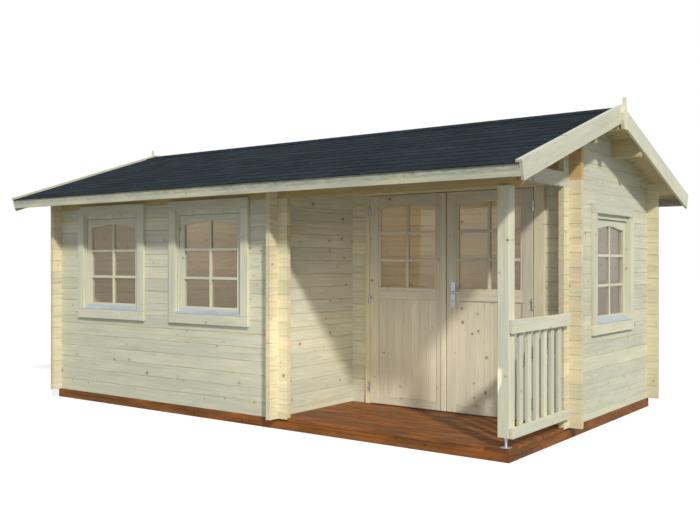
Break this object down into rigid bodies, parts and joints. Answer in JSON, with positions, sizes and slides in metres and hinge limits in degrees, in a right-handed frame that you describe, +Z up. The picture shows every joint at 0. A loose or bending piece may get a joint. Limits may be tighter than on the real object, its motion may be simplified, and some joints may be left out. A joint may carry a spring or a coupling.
{
  "type": "log garden cabin with a corner veranda",
  "caption": "Log garden cabin with interlocked corner joints, a shingled gable roof, a corner veranda with post and railing, windows, and a glazed double door that opens outwards.",
  "frame": {"origin": "centre of the plan at ground level, under the bearers", "axes": "+X along the ridge towards the gable with the veranda, -Y the front that the doors face, +Z up"},
  "size_m": [5.684, 3.7232, 2.7056],
  "materials": {
    "log_wood": "matte",
    "trim_wood": "matte",
    "door_wood": "matte",
    "floor_wood": "matte",
    "treated_wood": "matte",
    "bitumen_shingle": "matte",
    "window_glass": "gloss",
    "drip_metal": "satin",
    "zinc_steel": "satin",
    "handle_steel": "satin"
  },
  "bodies": {
    "cabin": {"foundation_frame": "treated_wood", "veranda_deck": "treated_wood", "room_floor": "floor_wood", "front_wall": "log_wood", "front_plate_beam": "log_wood", "left_gable_wall": "log_wood", "back_wall": "log_wood", "right_gable_wall": "log_wood", "right_plate_log": "log_wood", "right_gable_peak": "log_wood", "recess_side_wall": "log_wood", "door_wall_left": "log_wood", "door_wall_right": "log_wood", "door_wall_over": "log_wood", "purlins": "log_wood", "back_plate_log": "log_wood", "roof_boards_front": "trim_wood", "roof_boards_back": "trim_wood", "shingles_front": "bitumen_shingle", "shingles_back": "bitumen_shingle", "ridge_cap": "bitumen_shingle", "fascia_boards": "trim_wood", "bargeboards": "trim_wood", "barge_cover_strips": "trim_wood", "finials": "trim_wood", "corner_post": "trim_wood", "post_foot": "zinc_steel", "railing": "trim_wood", "window_casings": "trim_wood", "window_frames": "door_wood", "window_sashes": "door_wood", "window_glass": "window_glass", "window_drip_sills": "drip_metal", "door_frame": "door_wood", "door_casing": "trim_wood", "door_threshold": "floor_wood", "frame_hinges": "zinc_steel"},
    "left_door": {"left_door_leaf": "door_wood", "left_door_glass": "window_glass", "left_door_hinges": "zinc_steel"},
    "right_door": {"right_door_leaf": "door_wood", "right_door_glass": "window_glass", "right_door_hinges": "zinc_steel", "handle_plates": "handle_steel"},
    "lever": {"door_lever": "handle_steel"}
  },
  "joints": [
    {"name": "left_door_hinge", "type": "hinge", "parent": "cabin", "child": "left_door", "pos_m": [0.656, -0.4805, 1.051], "axis": [0, 0, -1], "range_deg": [0, 100]},
    {"name": "right_door_hinge", "type": "hinge", "parent": "cabin", "child": "right_door", "pos_m": [2.256, -0.4805, 1.051], "axis": [0, 0, 1], "range_deg": [0, 100]},
    {"name": "lever_turn", "type": "hinge", "parent": "right_door", "child": "lever", "pos_m": [1.5245, -0.452, 1.126], "axis": [0, 1, 0], "range_deg": [0, 40], "stiffness_Nm_per_rad": 1, "springref_deg": -11.46}
  ]
}
